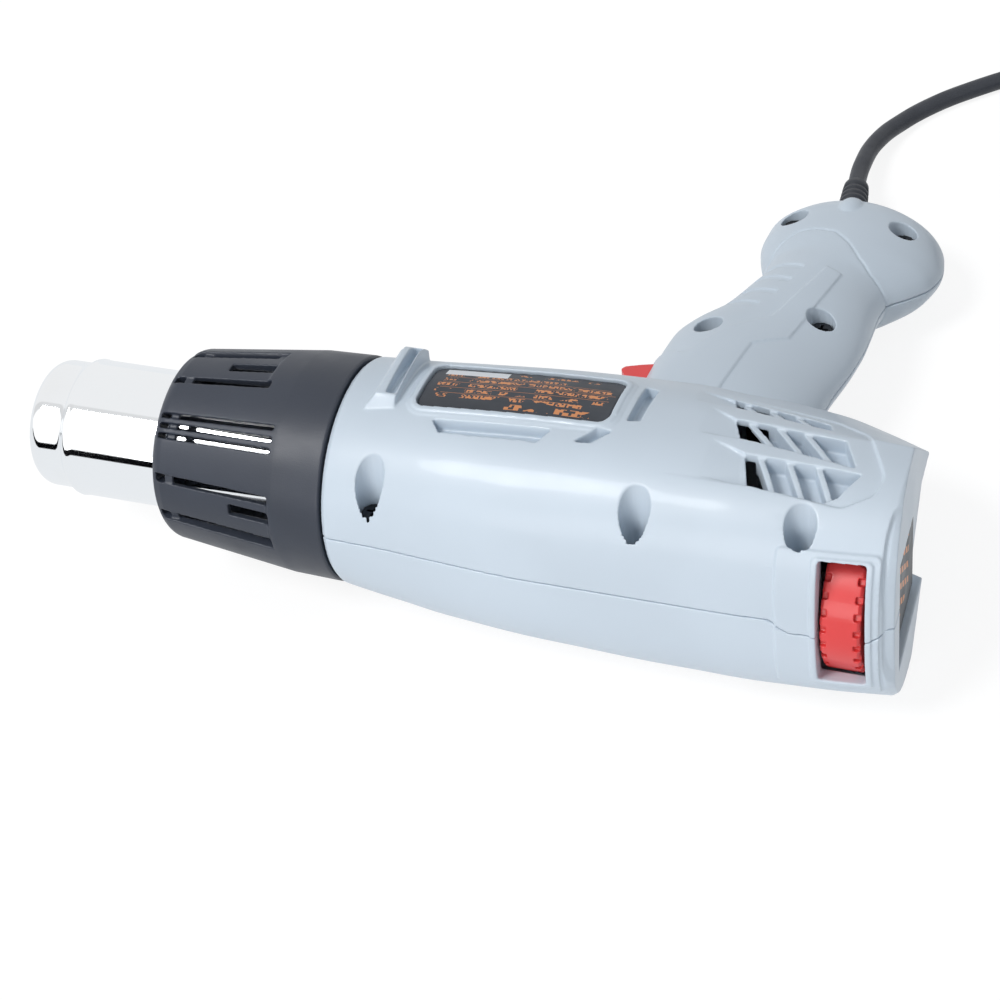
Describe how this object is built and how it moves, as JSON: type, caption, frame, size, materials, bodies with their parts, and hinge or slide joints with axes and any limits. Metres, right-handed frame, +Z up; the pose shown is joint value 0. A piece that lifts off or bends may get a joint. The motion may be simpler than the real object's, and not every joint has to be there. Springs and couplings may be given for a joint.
{
  "type": "hot air gun",
  "caption": "Mains hot air gun lying on its side: two-shell body with pistol handle, chrome nozzle, heat guard collar, fan, heater, trigger, heat dial and wound cord.",
  "frame": {"origin": "on the bench under the middle of the lying tool, at the bottom centre of its box without the cord", "axes": "+X along the barrel from the nozzle to the rear, +Y from the barrel's top towards the handle's end, +Z up from the bench"},
  "size_m": [0.3238, 0.3025, 0.0705],
  "materials": {
    "shell_plastic": "fine satin moulded plastic, pale blue grey",
    "collar_plastic": "matt black heat-proof plastic with a fine grain",
    "nozzle_chrome": "polished chrome plate",
    "red_plastic": "satin red plastic",
    "mica": "mica sheet",
    "ceramic": "bare white ceramic",
    "heater_wire": "oxidised resistance wire",
    "duct_plastic": "pale heat-proof plastic",
    "inner_plastic": "black glass-filled plastic",
    "steel": "zinc-plated steel",
    "aluminium": "bare extruded aluminium",
    "board_green": "green circuit board lacquer",
    "capacitor_yellow": "moulded capacitor case",
    "label_black": "printed black plate with plain orange marks",
    "plunger_white": "natural nylon",
    "cord_pvc": "black mains cord sheath",
    "cord_rubber": "soft black moulded rubber",
    "pin_metal": "nickel-plated brass pins"
  },
  "bodies": {
    "root": {"right_shell": "shell_plastic", "left_shell": "shell_plastic", "nozzle_tube": "nozzle_chrome", "front_collar": "collar_plastic", "mica_sleeve": "mica", "heater_core": "ceramic", "heating_coil": "heater_wire", "heater_support": "mica", "thermal_cutout": "inner_plastic", "air_duct": "duct_plastic", "fan_housing": "duct_plastic", "motor_bracket": "inner_plastic", "motor_can": "steel", "motor_end_cap": "inner_plastic", "potentiometer": "steel", "circuit_board": "board_green", "heat_sink": "aluminium", "power_transistor": "inner_plastic", "noise_capacitor": "capacitor_yellow", "shell_screw_1": "steel", "shell_screw_2": "steel", "shell_screw_3": "steel", "shell_screw_4": "steel", "shell_screw_5": "steel", "shell_screw_6": "steel", "shell_screw_7": "steel", "switch_body": "inner_plastic", "rating_label": "label_black", "rear_badge": "label_black", "strain_relief": "cord_rubber", "inner_lead": "cord_pvc", "cord_clamp": "inner_plastic", "clamp_screw_1": "steel", "clamp_screw_2": "steel", "lead_wire_1": "cord_pvc", "lead_wire_2": "cord_pvc", "power_cord": "cord_pvc", "cord_coil": "cord_pvc", "cord_tie": "inner_plastic", "plug_lead": "cord_pvc", "plug_body": "cord_rubber", "plug_pin_1": "pin_metal", "plug_pin_2": "pin_metal"},
    "fan": {"fan_wheel": "inner_plastic", "motor_shaft": "steel"},
    "heat_dial": {"temperature_dial": "red_plastic", "dial_spindle": "steel"},
    "trigger": {"trigger": "red_plastic"},
    "plunger": {"switch_plunger": "plunger_white"}
  },
  "joints": [
    {"name": "fan_spin", "type": "hinge", "parent": "root", "child": "fan", "pos_m": [0.0658, -0.06588, 0.035], "axis": [1, 0, 0], "continuous": true},
    {"name": "dial_turn", "type": "hinge", "parent": "root", "child": "heat_dial", "pos_m": [0.1094, -0.07919, 0.03402], "axis": [1, 0, 0], "range_deg": [-135, 135]},
    {"name": "trigger_press", "type": "slide", "parent": "root", "child": "trigger", "axis": [1, 0, 0], "range_m": [0, 0.005], "stiffness_N_per_m": 700, "springref_m": -0.002},
    {"name": "plunger_push", "type": "slide", "parent": "root", "child": "plunger", "axis": [1, 0, 0], "range_m": [0, 0.005]}
  ],
  "couplings": [
    {"joint": "plunger_push", "follows": "trigger_press", "ratio": 1}
  ]
}
